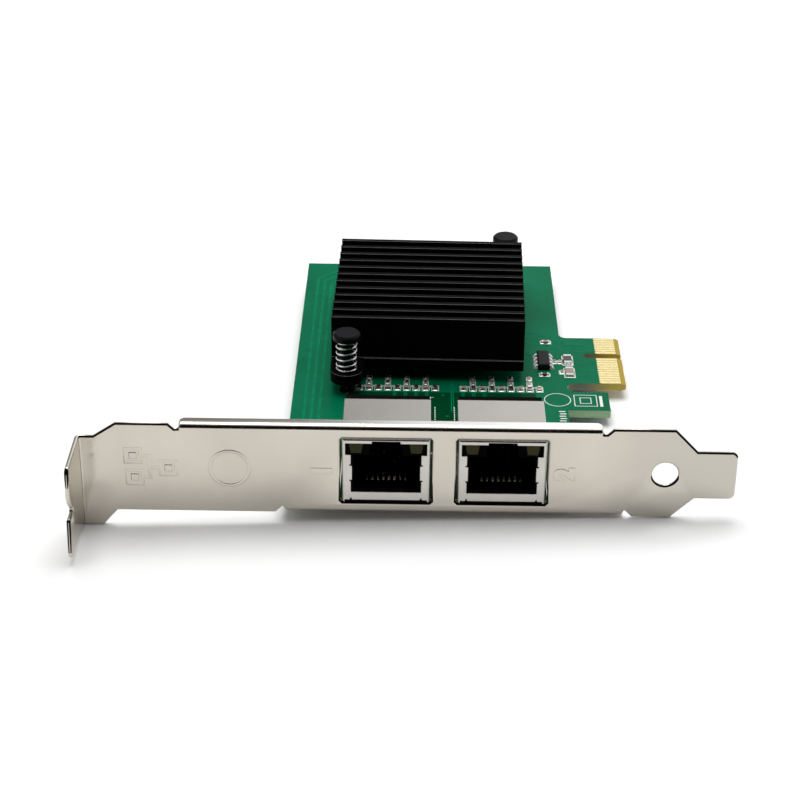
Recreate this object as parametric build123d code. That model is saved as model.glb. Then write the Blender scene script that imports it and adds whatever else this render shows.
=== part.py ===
from build123d import *
import os

# Two-port network card for a one-lane slot, with its full-height bracket. Sizes are in millimetres.
# The origin is in the middle of the key notch, on the slot edge of the board, on the component face.
# X points into the slot, Y away from the bracket, and Z up from the component face.

# How the board and the bracket lie to the key notch
key_to_face = 59.05
tab_to_card_edge = 104.4

# Bracket sheet
sheet = 0.86
bend_inner = 0.25
bend_outer = bend_inner + sheet
face_width = 18.42
face_bottom_z = -2.63
face_top_z = face_bottom_z + face_width

# Bracket ends, measured along it from the outer face of the screw tab
neck_drop_top = 2.75
neck_drop_bottom = 3.2
top_shoulder = (3.38, 7.47)
bottom_shoulder = (4.3, 7.1)
tongue_shoulder = 108.5
tongue_start = 112.7
tongue_end = 120.02
tongue_width = 9.87
tongue_below_middle = 0.19
tongue_corner_radius = 1.2
tongue_hole_at = 107.05
tongue_hole_diameter = 4.7

# Screw tab, measured forward from the face and up from the board. Its front edge leans forward.
screw_tab_reach = (11.9, 14.4)
screw_tab_bottom_z = -4.4
screw_tab_slant = (1.3, 6.8)
screw_tab_corner_radius = 1.3
notch_top_z = 8.1
notch_lip_z = 3.4
notch_radius = 4.4
notch_depth = 2.4
notch_lip_radius = 0.5

# Folds of the bracket, measured along it
top_fold = (18.9, 95.4)
top_fold_depth = 2.75
top_relief = 0.75
low_fold = (37.6, 99.9)
low_fold_depth = 3.5
low_relief = 0.25
fold_corner_cut = 0.7

# Screws that hold the board on the bracket's ears
screw_places = (42.5, 88.8)
screw_from_face = 6.5
screw_diameter = 2.9
screw_head_diameter = 5.0
screw_head_height = 1.8
screw_point = 0.6
screw_recess_width = 0.8
screw_recess_length = 2.8
screw_recess_depth = 1.0
thread_clearance = 0.05
screw_hole_clearance = 0.2
ear_radius = 3.0

# Board
board_thickness = 1.6
board_width = 55.0
board_depth = 101.79
board_front_gap = 0.45

# Edge connector
edge_reach = 12.5
edge_front = 12.15
edge_rear = 8.15
key_width = 1.9
key_depth = 8.0
edge_slot_width = 3.7
edge_slot_over = 0.4
retainer_reach = 8.5
retainer_width = 7.7
edge_fillet = 1.5
bevel_length = 1.05
bevel_depth = 0.35
contact_pitch = 1.0
contact_width = 0.7
contact_length = 4.3
contact_plating = 0.05
contact_from_key = 1.5
contacts_before_key = 11
contacts_after_key = 7

# Jacks, each measured back from its front, from its middle and up from the board
jack_places = (56.35, 77.45)
jack_width = 16.1
jack_height = 13.2
jack_length = 17.1
port_clearance = 0.3
port_top_clearance = 0.12
port_bottom_z = -0.2
port_corner_cut = 0.4
shield_sheet = 0.25
shield_length = 15.1
shield_bend = 0.5
window_side = 1.63
window_low_z = 2.05
window_roof = 0.97
lamp_window_side = 0.62
lamp_window_height = 2.37
latch_gap = 5.2
frame_low_z = 0.4
frame_notch_from_middle = 6.4
frame_notch = 0.5
side_spring = (4.6, 7.6)
side_spring_bulge = 0.22
side_spring_slit = 0.25
shield_tab_from_front = 10.8
shield_tab_width = 1.5
shield_tab_below = 0.6
plastic_gap = 0.05
housing_length = 12.0
cavity_width = 11.9
cavity_low_z = 2.76
cavity_roof = 3.5
latch_channel_width = 5.8
latch_channel_roof = 0.8
peg_diameter = 3.15
peg_from_front = 8.9
peg_from_side = 2.33
peg_length = 2.9
peg_clearance = 0.05

# Contact springs of a jack
spring_count = 8
spring_pitch = 1.016
spring_width = 0.45
spring_thickness = 0.3
spring_rise_z = 5.6
spring_knee = 11.0
spring_tip = (3.4, 3.45)
spring_end = (2.7, 3.0)
tail_rows = (13.3, 15.2)
tail_length = 2.8
tail_hole_clearance = 0.15
slot_clearance = 0.05

# Lamps of a jack
lens_from_side = 2.575
lens_top_width = 2.55
lens_bottom_width = 1.9
lens_roof = 1.0
lens_height = 2.05
lens_length = 5.2
lamp_lead = 0.45
lamp_lead_pitch = 1.2
lamp_lead_roof = 2.0

# Heatsink, placed from the board's slot edge and from the key
sink_from_edge = 27.6
sink_from_key = 7.75
sink_size = 39.0
sink_base = 2.2
sink_height = 11.2
fin_count = 12
fin_thickness = 1.0
fin_inset = 0.35
sink_turn = -1.2
sink_ear_radius = 3.3
pin_offset_x = 16.6
pin_offset_y = 23.9

# Controller chip and pad under the heatsink
chip_size = 25.0
chip_substrate = 1.2
chip_cap_size = 21.0
chip_height = 2.1
pad_size = 20.0
pad_thickness = 0.5

# Push pins and their springs
pin_shank_diameter = 2.8
pin_clearance = 0.15
pin_head_diameter = 5.5
pin_head_height = 1.4
pin_head_bevel = 0.4
pin_top_z = 13.0
barb_diameter = 3.9
barb_tip_diameter = 2.0
barb_length = 3.0
barb_sides = 8
barb_slot = 0.7
coil_diameter = 4.4
coil_wire = 0.5
coil_turns = 6.5
coil_closed_gap = 0.05
coil_steps = 10

# Small flat parts: length, width and height
flat_sizes = {"large": (3.6, 1.6, 0.6), "medium": (1.6, 0.8, 0.45), "small": (1.0, 0.5, 0.35)}
flat_cap_share = 0.2
row_behind_jack = 26.8
row_count = 9
row_pitch = 1.92
row_beside_jack = 1.5
column_every = 2
column_gap = 2.2

# Flat parts beside the memory chip: place past the slot edge and from the key, size, and if it lies along X
edge_part_places = (
    (1.15, -2.3, "large", False), (1.25, -7.75, "large", False), (-3.9, -8.75, "medium", True),
    (-3.0, 5.85, "medium", True), (-1.6, -3.05, "small", False), (-0.5, -3.05, "small", False),
    (-0.3, -7.55, "small", False))

# Memory chip, placed from the slot edge and from the key
memory_from_edge = 3.95
memory_from_key = -3.45
memory_size = (2.4, 6.4)
memory_height = 1.4
memory_lead_pitch = 1.6
memory_leads_a_side = 4
lead_thickness = 0.2
lead_width = 0.45
lead_reach = 0.9
lead_shoulder = 0.4

# Supply parts behind the heatsink, placed from the slot edge and from the rear edge
crystal_place = (32.4, 5.1)
crystal_size = (11.4, 4.7)
crystal_height = 3.5
crystal_flange = 0.4
regulator_places = ((43.4, 7.4), (19.9, 7.4))
regulator_size = (6.5, 3.5)
regulator_height = 1.6
regulator_lead_pitch = 2.3
regulator_lead_width = 0.7
regulator_tab_width = 3.0
regulator_lead_reach = 1.6
tantalum_places = ((35.9, 11.6), (30.9, 11.6), (25.9, 11.6))
tantalum_size = (3.5, 2.8)
tantalum_height = 1.9
tantalum_lead = 0.5
tantalum_lead_width = 1.4

# Board frame worked out from the sizes above
bracket_x = -tab_to_card_edge
face_y = -key_to_face
face_rear_y = face_y + sheet
board_x = (-edge_reach - board_width, -edge_reach)
board_y = (face_rear_y + board_front_gap, face_rear_y + board_front_gap + board_depth)
sink_x = -edge_reach - sink_from_edge
sink_y = sink_from_key
sink_bottom_z = chip_height + pad_thickness
pin_places = {"front": (sink_x - pin_offset_x, sink_y - pin_offset_y),
              "rear": (sink_x + pin_offset_x, sink_y + pin_offset_y)}


# Simple shapes

def block(x_span, y_span, z_span):
    spans = (x_span, y_span, z_span)
    middle = [sum(span) / 2 for span in spans]
    size = [span[1] - span[0] for span in spans]
    return Pos(*middle) * Box(*size)


def around(middle, width):
    return middle - width / 2, middle + width / 2


def rod(place, z_span, diameter):
    low, high = z_span
    return Pos(*place, (low + high) / 2) * Cylinder(diameter / 2, high - low)


def upright(outline, y_span):
    # An outline drawn in X and Z, given its thickness in Y
    plane = Plane(origin=(0, y_span[1], 0), x_dir=(1, 0, 0), z_dir=(0, -1, 0))
    return extrude(plane * outline, y_span[1] - y_span[0])


def sideways(outline, x_span):
    # An outline drawn in Y and Z, given its thickness in X
    plane = Plane(origin=(x_span[0], 0, 0), x_dir=(0, 1, 0), z_dir=(1, 0, 0))
    return extrude(plane * outline, x_span[1] - x_span[0])


def quarter_bend():
    ring = Circle(bend_outer) - Circle(bend_inner)
    return ring & Pos(bend_outer / 2, bend_outer / 2) * Rectangle(bend_outer, bend_outer)


def group(solids):
    return Compound(children=[solid.solid() for solid in solids])


# Bracket

def along(distance):
    return bracket_x + distance


def span_along(span):
    return along(span[0]), along(span[1])


def fold_gap(span, relief, edge_z, depth):
    # The part of the face's edge that a fold takes, with a slanted relief at each end
    low, high = span_along(span)
    slope = abs(depth)
    return make_face(Polyline(
        (low - relief - slope, edge_z), (low - relief, edge_z + depth),
        (high + relief, edge_z + depth), (high + relief + slope, edge_z), close=True))


def face_outline():
    neck_top_z = face_top_z - neck_drop_top
    neck_bottom_z = face_bottom_z - neck_drop_bottom
    tongue_z = (face_top_z + face_bottom_z) / 2 - tongue_below_middle
    tongue_low_z, tongue_high_z = around(tongue_z, tongue_width)
    outline = make_face(Polyline(
        (along(bend_outer), neck_top_z), (along(top_shoulder[0]), neck_top_z),
        (along(top_shoulder[1]), face_top_z), (along(tongue_shoulder), face_top_z),
        (along(tongue_start), tongue_high_z), (along(tongue_end), tongue_high_z),
        (along(tongue_end), tongue_low_z), (along(tongue_start), tongue_low_z),
        (along(tongue_shoulder), face_bottom_z), (along(bottom_shoulder[1]), face_bottom_z),
        (along(bottom_shoulder[0]), neck_bottom_z), (along(bend_outer), neck_bottom_z), close=True))
    tongue_corners = outline.vertices().sort_by(Axis.X)[-2:]
    return fillet(tongue_corners, tongue_corner_radius)


def port_outline(place):
    top_z = jack_height + port_top_clearance
    port = Rectangle(jack_width + 2 * port_clearance, top_z - port_bottom_z)
    return Pos(along(place), (top_z + port_bottom_z) / 2) * chamfer(port.vertices(), port_corner_cut)


def fold(span, outer_z, up, depth):
    # Sheet folded back from the face: the bend, then the flat part
    low, high = span_along(span)
    start = high if up > 0 else low
    bend_y = face_y + bend_outer
    bend_z = outer_z - up * bend_outer
    plane = Plane(origin=(start, bend_y, bend_z), x_dir=(0, -1, 0), z_dir=(-up, 0, 0))
    flat = block((low, high), (bend_y, face_y + depth), sorted((outer_z, outer_z - up * sheet)))
    rear_corners = flat.edges().filter_by(Axis.Z).sort_by(Axis.Y)[-2:]
    return extrude(plane * quarter_bend(), high - low) + chamfer(rear_corners, fold_corner_cut)


def screw_tab():
    neck_top_z = face_top_z - neck_drop_top
    neck_bottom_z = face_bottom_z - neck_drop_bottom
    top_reach, bottom_reach = screw_tab_reach
    lean = (bottom_reach - top_reach) / (neck_top_z - screw_tab_bottom_z)
    notch_mouth = top_reach + lean * (neck_top_z - notch_top_z)
    lip_tip = top_reach + lean * (neck_top_z - notch_lip_z)
    notch_z = notch_top_z - (notch_radius ** 2 - (notch_radius - notch_depth) ** 2) ** 0.5
    notch_end = notch_mouth - notch_depth
    outline = make_face([
        Polyline((notch_end, notch_z), (notch_end, notch_lip_z), (lip_tip, notch_lip_z),
                 (bottom_reach, screw_tab_bottom_z), (screw_tab_slant[1], screw_tab_bottom_z),
                 (screw_tab_slant[0], neck_bottom_z), (bend_inner, neck_bottom_z),
                 (bend_inner, neck_top_z), (top_reach, neck_top_z), (notch_mouth, notch_top_z)),
        RadiusArc((notch_mouth, notch_top_z), (notch_end, notch_z), notch_radius)])
    rounded = (((top_reach, neck_top_z), screw_tab_corner_radius),
               ((bottom_reach, screw_tab_bottom_z), screw_tab_corner_radius),
               ((lip_tip, notch_lip_z), notch_lip_radius))
    for (y, z), radius in rounded:
        outline = fillet(outline.vertices().sort_by_distance((y, z, 0))[0], radius)
    plane = Plane(origin=(along(sheet), face_y, 0), x_dir=(0, -1, 0), z_dir=(-1, 0, 0))
    bend_place = (along(bend_outer), face_rear_y - bend_outer, neck_top_z)
    bend_plane = Plane(origin=bend_place, x_dir=(-1, 0, 0), z_dir=(0, 0, -1))
    return extrude(plane * outline, sheet) + extrude(bend_plane * quarter_bend(), neck_top_z - neck_bottom_z)


def screw_ear(place):
    # A round-ended ear that runs back from the lower fold under the board
    screw_y = face_y + screw_from_face
    z_span = (-board_thickness - sheet, -board_thickness)
    plate = block(around(along(place), 2 * ear_radius), (face_y + bend_outer, screw_y), z_span)
    return plate + rod((along(place), screw_y), z_span, 2 * ear_radius)


def bracket():
    outline = face_outline()
    outline -= fold_gap(top_fold, top_relief, face_top_z, -bend_outer)
    low_fold_bottom_z = -board_thickness - sheet
    outline -= fold_gap(low_fold, low_relief, face_bottom_z, low_fold_bottom_z + bend_outer - face_bottom_z)
    hole_z = (face_top_z + face_bottom_z) / 2
    outline -= Pos(along(tongue_hole_at), hole_z) * Circle(tongue_hole_diameter / 2)
    for place in jack_places:
        outline -= port_outline(place)
    body = upright(outline, (face_y, face_rear_y)) + screw_tab()
    body += fold(top_fold, face_top_z, 1, top_fold_depth)
    body += fold(low_fold, low_fold_bottom_z, -1, low_fold_depth)
    for place in screw_places:
        body += screw_ear(place)
    for place in screw_places:
        hole_diameter = screw_diameter + 2 * thread_clearance
        z_span = (low_fold_bottom_z - 1, -board_thickness + 1)
        body -= rod((along(place), face_y + screw_from_face), z_span, hole_diameter)
    return body


def bracket_screws():
    screws = []
    for place in screw_places:
        middle = (along(place), face_y + screw_from_face)
        point_z = -board_thickness - sheet - screw_point
        head = rod(middle, (0, screw_head_height), screw_head_diameter)
        recess_z = (screw_head_height - screw_recess_depth, screw_head_height)
        for size in ((screw_recess_length, screw_recess_width), (screw_recess_width, screw_recess_length)):
            head -= block(around(middle[0], size[0]), around(middle[1], size[1]), recess_z)
        screws.append(head + rod(middle, (point_z, 0), screw_diameter))
    return group(screws)


# Board

def board_outline():
    def area(x_span, y_span):
        width, depth = x_span[1] - x_span[0], y_span[1] - y_span[0]
        return Pos(sum(x_span) / 2, sum(y_span) / 2) * Rectangle(width, depth)

    retainer_x = -edge_reach + retainer_reach
    slot_y = (-edge_front - edge_slot_width, -edge_front)
    slot_radius = edge_slot_width / 2
    slot_end_x = -edge_reach + edge_slot_over + slot_radius
    key_end_x = -key_depth + key_width / 2
    outline = area(board_x, board_y) + area((-edge_reach, 0), (-edge_front, edge_rear))
    outline += area((-edge_reach, retainer_x), (slot_y[0] - retainer_width, slot_y[1]))
    outline -= area((slot_end_x, retainer_x + 1), slot_y)
    outline -= Pos(slot_end_x, sum(slot_y) / 2) * Circle(slot_radius)
    outline -= area((key_end_x, 1), around(0, key_width)) + Pos(key_end_x, 0) * Circle(key_width / 2)
    corner = outline.vertices().sort_by_distance((-edge_reach, edge_rear, 0))[0]
    return fillet(corner, edge_fillet)


def edge_bevel(top_z, down):
    # A wedge cut from the slot edge so that it enters the slot easily
    wedge = make_face(Polyline(
        (0, top_z), (-bevel_length, top_z), (0, top_z + down * bevel_depth), close=True))
    return upright(wedge, (-edge_front - 1, edge_rear + 1))


def jack_holes(place):
    # What the board lets through for one jack: round pegs, and the slots of the flat leads
    depth = (-board_thickness - 1, 1)
    peg_hole = peg_diameter + 2 * peg_clearance
    pegs = [rod((side * peg_x(), peg_from_front), depth, peg_hole) for side in (-1, 1)]
    tab_x, tab_section = (jack_width - shield_sheet) / 2, (shield_sheet, shield_tab_width)
    leads = [((side * tab_x, shield_tab_from_front), tab_section) for side in (-1, 1)]
    leads += [((x, jack_length - lamp_lead / 2), (lamp_lead, lamp_lead)) for x in lamp_lead_places()]
    leads += [((spring_x(index), tail_rows[index % 2]), (spring_width, spring_thickness))
              for index in range(spring_count)]
    spare = 2 * tail_hole_clearance
    slots = [block(around(x, width + spare), around(y, depth_y + spare), depth)
             for (x, y), (width, depth_y) in leads]
    return [Pos(along(place), face_y) * hole for hole in pegs + slots]


def circuit_board():
    body = extrude(board_outline(), -board_thickness)
    body -= edge_bevel(0, -1) + edge_bevel(-board_thickness, 1)
    holes = [(place, pin_shank_diameter + 2 * pin_clearance) for place in pin_places.values()]
    screw_hole = screw_diameter + 2 * screw_hole_clearance
    holes += [((along(place), face_y + screw_from_face), screw_hole) for place in screw_places]
    drills = [rod(place, (-board_thickness - 1, 1), diameter) for place, diameter in holes]
    for place in jack_places:
        drills += jack_holes(place)
    return body - drills


def edge_contacts():
    before = [-contact_from_key - contact_pitch * index for index in range(contacts_before_key)]
    after = [contact_from_key + contact_pitch * index for index in range(contacts_after_key)]
    x_span = (-bevel_length - contact_length, -bevel_length)
    faces = ((0, contact_plating), (-board_thickness - contact_plating, -board_thickness))
    return group(block(x_span, around(y, contact_width), z_span) for y in before + after for z_span in faces)


# One jack in its own frame: X from its middle, Y back from its front, Z up from the board

def spring_x(index):
    return (index - (spring_count - 1) / 2) * spring_pitch


def peg_x():
    return jack_width / 2 - peg_from_side


def lens_x():
    return jack_width / 2 - lens_from_side


def lamp_lead_places():
    return [side * lens_x() + step * lamp_lead_pitch / 2 for side in (-1, 1) for step in (-1, 1)]


def jack_inside():
    # Half width and height that the shield leaves for the plastic pieces
    return jack_width / 2 - shield_sheet - plastic_gap, jack_height - shield_sheet - plastic_gap


def jack_shield():
    def shell(inset):
        body = block(around(0, jack_width - 2 * inset), (inset, shield_length + 2 * inset),
                     (-inset, jack_height - inset))
        front = body.faces().sort_by(Axis.Y)[0].edges()
        return fillet(front.sort_by(Axis.Z)[1:], shield_bend - inset)

    body = shell(0) - shell(shield_sheet)
    body = body & block(around(0, jack_width), (0, shield_length), (0, jack_height))
    through = (-1, 2 * shield_sheet)
    window_width = jack_width - 2 * window_side
    window_top_z = jack_height - window_roof
    lamp_window = around(0, jack_width - 2 * lamp_window_side)
    body -= block(around(0, window_width), through, (window_low_z, window_top_z))
    body -= block(lamp_window, through, (window_top_z - lamp_window_height, window_top_z))
    body -= block(around(0, latch_gap), through, (window_low_z, jack_height - shield_bend))
    body -= block(around(0, jack_width - 2 * shield_bend), (-1, shield_bend), (-1, frame_low_z))
    for side in (-1, 1):
        bulge = sorted((side * window_width / 2, side * (window_width / 2 - side_spring_bulge)))
        body += block(bulge, (0, shield_sheet), side_spring)
        slit_x = sorted((side * window_width / 2, side * (window_width / 2 + side_spring_slit)))
        for end_z, slit_height in zip(side_spring, (-side_spring_slit, side_spring_slit)):
            body -= block(slit_x, through, sorted((end_z, end_z + slit_height)))
        notch_x, notch_low_z = side * frame_notch_from_middle, frame_low_z
        body -= upright(make_face(Polyline(
            (notch_x - frame_notch / 2, notch_low_z), (notch_x + frame_notch / 2, notch_low_z),
            (notch_x, notch_low_z + frame_notch), close=True)), through)
        sheet_x = sorted((side * jack_width / 2, side * (jack_width / 2 - shield_sheet)))
        tab_y = around(shield_tab_from_front, shield_tab_width)
        body += block(sheet_x, tab_y, (-board_thickness - shield_tab_below, 1))
    return body


def lens_outline(gap):
    top_z = jack_height - lens_roof
    low, high = top_z - lens_height - gap, top_z + gap
    return make_face(Polyline(
        (-lens_bottom_width / 2 - gap, low), (lens_bottom_width / 2 + gap, low),
        (lens_top_width / 2 + gap, high), (-lens_top_width / 2 - gap, high), close=True))


def lamp_leads(gap):
    # Two leads behind each lamp, back over the cavity and down the rear
    low_z = -board_thickness - tail_length / 2 - gap
    leads = []
    for lead_x in lamp_lead_places():
        x_span = around(lead_x, lamp_lead + 2 * gap)
        z_span = around(jack_height - lamp_lead_roof, lamp_lead + 2 * gap)
        back = block(x_span, (shield_sheet + lens_length, jack_length), z_span)
        down = block(x_span, (jack_length - lamp_lead - gap, jack_length), (low_z, z_span[1]))
        leads.append(back + down)
    return leads


def jack_lenses():
    y_span = (shield_sheet, shield_sheet + lens_length)
    return [Pos(side * lens_x()) * upright(lens_outline(0), y_span) for side in (-1, 1)]


def contact_spring(index, gap):
    # Sheet strip up from the board, forward out of the carrier and down to the sill
    tail_y = tail_rows[index % 2]
    path = Polyline((tail_y, -tail_length), (tail_y, spring_rise_z), (spring_knee, spring_rise_z),
                    spring_tip, spring_end)
    strip = trace(path, spring_thickness + 2 * gap)
    return sideways(strip, around(spring_x(index), spring_width + 2 * gap))


def jack_housing():
    half_width, height = jack_inside()
    body = block((-half_width, half_width), (shield_sheet, housing_length), (0, height))
    through = (-1, housing_length + 1)
    body -= block(around(0, cavity_width), through, (cavity_low_z, jack_height - cavity_roof))
    body -= block(around(0, latch_channel_width), through, (cavity_low_z, jack_height - latch_channel_roof))
    pocket_y = (-1, shield_sheet + lens_length + plastic_gap)
    for side in (-1, 1):
        body -= Pos(side * lens_x()) * upright(lens_outline(plastic_gap), pocket_y)
        body += rod((side * peg_x(), peg_from_front), (-peg_length, 0), peg_diameter)
    front = body.faces().sort_by(Axis.Y)[0].outer_wire().edges()
    body = fillet(front.sort_by(Axis.Z)[1:], shield_bend - shield_sheet)
    return body - lamp_leads(slot_clearance)


def jack_carrier():
    half_width, height = jack_inside()
    body = block((-half_width, half_width), (housing_length, jack_length), (0, height))
    springs = [contact_spring(index, slot_clearance) for index in range(spring_count)]
    return body - springs - lamp_leads(slot_clearance)


def jack_pieces():
    return {
        "shield": jack_shield(),
        "housing": jack_housing(),
        "carrier": jack_carrier(),
        "contacts": group(contact_spring(index, 0) for index in range(spring_count)),
        "lenses": group(jack_lenses()),
        "lamp_leads": group(lamp_leads(0)),
    }


# Heatsink, its pins and what lies under it

def heatsink():
    # The base and its fins sit a little turned between the pins, as assembled
    base_z = (sink_bottom_z, sink_bottom_z + sink_base)
    body = block(around(0, sink_size), around(0, sink_size), base_z)
    fin_pitch = (sink_size - 2 * fin_inset - fin_thickness) / (fin_count - 1)
    for index in range(fin_count):
        front_y = -sink_size / 2 + fin_inset + index * fin_pitch
        fin_z = (base_z[1], sink_bottom_z + sink_height)
        body += block(around(0, sink_size), (front_y, front_y + fin_thickness), fin_z)
    body = Pos(sink_x, sink_y) * Rot(0, 0, sink_turn) * body
    for (x, y), side in zip(pin_places.values(), (1, -1)):
        neck_y = sorted((y, y + side * pin_offset_y / 2))
        body += block(around(x, 2 * sink_ear_radius), neck_y, base_z)
        body += rod((x, y), base_z, 2 * sink_ear_radius)
    for place in pin_places.values():
        body -= rod(place, (base_z[0] - 1, base_z[1] + 1), pin_shank_diameter + 2 * pin_clearance)
    return body


def controller_chip():
    body = block(around(sink_x, chip_size), around(sink_y, chip_size), (0, chip_substrate))
    return body + block(around(sink_x, chip_cap_size), around(sink_y, chip_cap_size), (0, chip_height))


def thermal_pad():
    return block(around(sink_x, pad_size), around(sink_y, pad_size), (chip_height, sink_bottom_z))


def push_pin(place):
    head_z = pin_top_z - pin_head_height
    head = rod(place, (head_z, pin_top_z), pin_head_diameter)
    head = chamfer(head.edges().sort_by(Axis.Z)[-1], pin_head_bevel)
    shank = rod(place, (-board_thickness, head_z), pin_shank_diameter)
    barb_z = (-board_thickness - barb_length, -board_thickness)
    barb = loft([Pos(*place, z) * RegularPolygon(diameter / 2, barb_sides)
                 for z, diameter in zip(barb_z, (barb_tip_diameter, barb_diameter))])
    slot_z = (-board_thickness - barb_length, sink_bottom_z / 2)
    slot = block(around(place[0], barb_slot), around(place[1], barb_diameter), slot_z)
    return head + shank + barb - slot


def pin_spring(place):
    # A coil from the heatsink's ear up to the pin's head: a closed turn at each end, both ground flat
    low_z, high_z = sink_bottom_z + sink_base, pin_top_z - pin_head_height
    closed_pitch = coil_wire + coil_closed_gap
    open_turns = coil_turns - 2
    open_pitch = (high_z - low_z - 2 * closed_pitch) / open_turns
    wire = Plane.XZ * RegularPolygon(coil_wire / 2, 6)
    sections = []
    for step in range(round(coil_turns * coil_steps) + 1):
        turn = step / coil_steps
        opened = min(max(turn - 1, 0), open_turns)
        rise = (turn - opened) * closed_pitch + opened * open_pitch
        sections.append(Rot(0, 0, 360 * turn) * Pos((coil_diameter - coil_wire) / 2, 0, rise) * wire)
    coil = Pos(*place, low_z) * loft(sections, ruled=True)
    reach = around(0, 2 * coil_diameter)
    return coil & Pos(*place) * block(reach, reach, (low_z, high_z))


# Small parts on the board

def flat_part(place, size, along_x=False):
    # A two-ended part: its body, then its two soldered ends
    length, width, height = flat_sizes[size]
    cap = length * flat_cap_share
    body = block(around(0, width), around(0, length - 2 * cap), (0, height))
    caps = [block(around(0, width), around(side * (length - cap) / 2, cap), (0, height)) for side in (-1, 1)]
    turn = Pos(*place) * Rot(0, 0, 90 if along_x else 0)
    return [turn * piece for piece in (body, *caps)]


def row_parts(place):
    # The row behind a jack, with a short column on every second part
    row_y = face_y + row_behind_jack + jack_length
    parts = []
    for index in range(row_count):
        x = along(place) + row_beside_jack + (index - (row_count - 1) / 2) * row_pitch
        parts.append(flat_part((x, row_y), "medium"))
        if index % column_every == 1:
            parts.append(flat_part((x, row_y + column_gap), "small"))
            parts.append(flat_part((x, row_y + 2 * column_gap), "small"))
    return parts


def edge_parts():
    return [flat_part((-edge_reach + x, y), size, along_x) for x, y, size, along_x in edge_part_places]


def flat_nodes():
    parts = [part for place in jack_places for part in row_parts(place)] + edge_parts()
    resistors, capacitors = parts[0::2], parts[1::2]
    nodes = {}
    for name, members in (("resistor", resistors), ("capacitor", capacitors)):
        nodes[f"{name}s"] = group(member[0] for member in members)
        nodes[f"{name}_caps"] = group(cap for member in members for cap in member[1:])
    return nodes


def bent_leads(places, body_edge_y, side, rise, reach, width):
    # Leads that leave a body's long side, step down and lie on the board
    step = reach * lead_shoulder
    path = Polyline((body_edge_y, rise), (body_edge_y + side * step, rise),
                    (body_edge_y + side * step, lead_thickness / 2),
                    (body_edge_y + side * reach, lead_thickness / 2))
    strip = trace(path, lead_thickness)
    return [sideways(strip, around(x, width)) for x in places]


def memory_chip():
    # The chip's long side lies along Y, so the leads are drawn along X and turned
    width, length = memory_size
    turn = Pos(-edge_reach - memory_from_edge, memory_from_key) * Rot(0, 0, 90)
    body = block(around(0, length), around(0, width), (lead_thickness / 2, memory_height))
    body = chamfer(body.faces().sort_by(Axis.Z)[-1].edges(), lead_thickness)
    first = -(memory_leads_a_side - 1) / 2
    places = [(first + index) * memory_lead_pitch for index in range(memory_leads_a_side)]
    leads = []
    for side in (-1, 1):
        leads += bent_leads(places, side * width / 2, side, memory_height / 2, lead_reach, lead_width)
    return {"memory_chip": turn * body, "memory_chip_leads": group(turn * lead for lead in leads)}


def from_rear(place):
    return -edge_reach - place[0], board_y[1] - place[1]


def crystal():
    x, y = from_rear(crystal_place)
    length, width = crystal_size
    can = extrude(SlotOverall(length, width), crystal_height)
    flange = extrude(SlotOverall(length + 2 * crystal_flange, width + 2 * crystal_flange), crystal_flange)
    return Pos(x, y) * (can + flange)


def regulators():
    width, depth = regulator_size
    rise = regulator_height / 2
    bodies, leads = [], []
    for place in regulator_places:
        move = Pos(*from_rear(place))
        body = block(around(0, width), around(0, depth), (lead_thickness / 2, regulator_height))
        bodies.append(move * body)
        front = [step * regulator_lead_pitch for step in (-1, 0, 1)]
        legs = bent_leads(front, -depth / 2, -1, rise, regulator_lead_reach, regulator_lead_width)
        legs += bent_leads([0], depth / 2, 1, rise, regulator_lead_reach, regulator_tab_width)
        leads += [move * leg for leg in legs]
    return {"regulators": group(bodies), "regulator_leads": group(leads)}


def tantalums():
    length, width = tantalum_size
    bodies, leads = [], []
    for place in tantalum_places:
        move = Pos(*from_rear(place))
        bodies.append(move * block(around(0, length), around(0, width), (lead_thickness, tantalum_height)))
        for side in (-1, 1):
            foot = sorted((side * length / 2, side * (length / 2 - tantalum_lead)))
            leads.append(move * block(foot, around(0, tantalum_lead_width), (0, lead_thickness)))
    return {"tantalum_capacitors": group(bodies), "tantalum_leads": group(leads)}


def write(nodes):
    os.makedirs("parts", exist_ok=True)
    for name, shape in nodes.items():
        export_step(shape, f"parts/{name}.step")


def main():
    nodes = {
        "bracket": bracket(),
        "bracket_screws": bracket_screws(),
        "circuit_board": circuit_board(),
        "edge_contacts": edge_contacts(),
        "heatsink": heatsink(),
        "controller_chip": controller_chip(),
        "thermal_pad": thermal_pad(),
    }
    for number, place in enumerate(jack_places, 1):
        for name, piece in jack_pieces().items():
            nodes[f"jack_{number}_{name}"] = Pos(along(place), face_y) * piece
    for name, place in pin_places.items():
        nodes[f"push_pin_{name}"] = push_pin(place)
        nodes[f"spring_{name}"] = pin_spring(place)
    nodes["crystal"] = crystal()
    for more in (flat_nodes(), memory_chip(), regulators(), tantalums()):
        nodes.update(more)
    write(nodes)


main()
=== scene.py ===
import math
import random
import bmesh
import bpy
from mathutils import Matrix, Vector

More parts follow.
